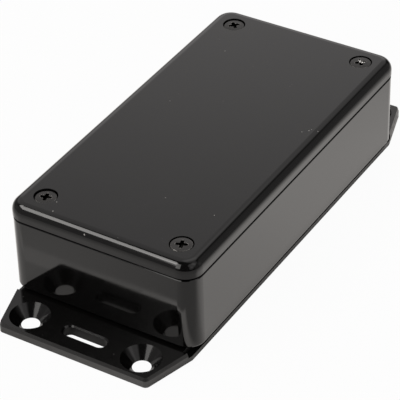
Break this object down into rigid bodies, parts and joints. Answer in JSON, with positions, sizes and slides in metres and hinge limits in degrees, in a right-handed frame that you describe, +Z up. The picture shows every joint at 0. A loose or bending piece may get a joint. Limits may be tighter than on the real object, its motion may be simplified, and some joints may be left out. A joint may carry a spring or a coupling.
{
  "type": "flanged plastic project box",
  "caption": "Low rectangular plastic electronics box with rounded screwed lid, hollow case with corner posts and a flanged base plate with countersunk holes and slots.",
  "frame": {"origin": "centre of the base plate's underside", "axes": "+Z up through the lid, +Y along the box's length to the rear flange, +X to the right seen from the front"},
  "size_m": [0.05, 0.1228, 0.0267],
  "materials": {
    "black_plastic": "moulded black plastic with a smooth gloss",
    "black_screw": "blackened steel, satin"
  },
  "bodies": {
    "case": {"case_body": "black_plastic", "flange_base": "black_plastic", "base_screw_front_left": "black_screw", "base_screw_front_right": "black_screw", "base_screw_rear_right": "black_screw", "base_screw_rear_left": "black_screw"},
    "lid": {"lid": "black_plastic", "lid_screw_front_left": "black_screw", "lid_screw_front_right": "black_screw", "lid_screw_rear_right": "black_screw", "lid_screw_rear_left": "black_screw"}
  },
  "joints": [
    {"name": "lid_lift", "type": "slide", "parent": "case", "child": "lid", "axis": [0, 0, 1], "range_m": [0, 0.025]}
  ]
}
